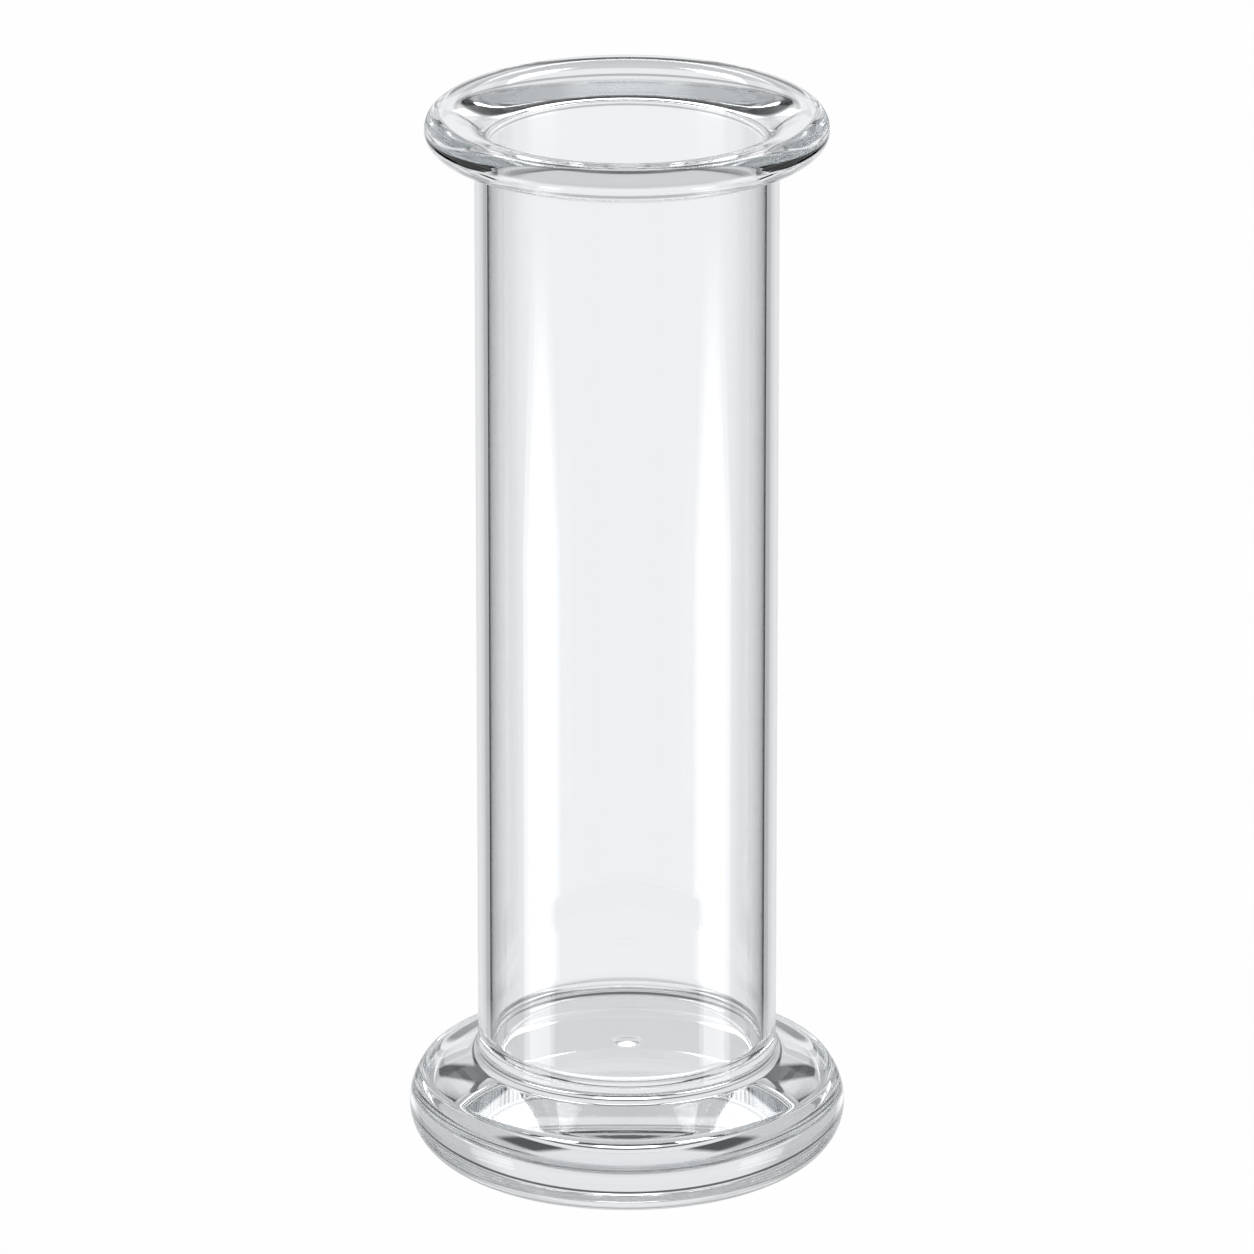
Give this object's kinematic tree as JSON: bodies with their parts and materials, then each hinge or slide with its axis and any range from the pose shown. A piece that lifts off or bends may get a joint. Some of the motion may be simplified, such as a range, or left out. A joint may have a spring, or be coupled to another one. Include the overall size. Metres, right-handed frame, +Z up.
{
  "type": "gas jar",
  "caption": "Straight clear-glass gas jar with a thick rounded foot, a flat floor with a small pip inside and a wide flange round the mouth for a cover plate.",
  "frame": {"origin": "centre of the foot's flat underside, on the axis of the jar", "axes": "+Z up along the axis of the jar, towards the mouth; the jar is round, so +X and +Y are any two directions square to it"},
  "size_m": [0.0804, 0.0804, 0.2],
  "materials": {
    "glass": "clear, fire-polished"
  },
  "bodies": {
    "root": {"gas_jar": "glass"}
  },
  "joints": []
}
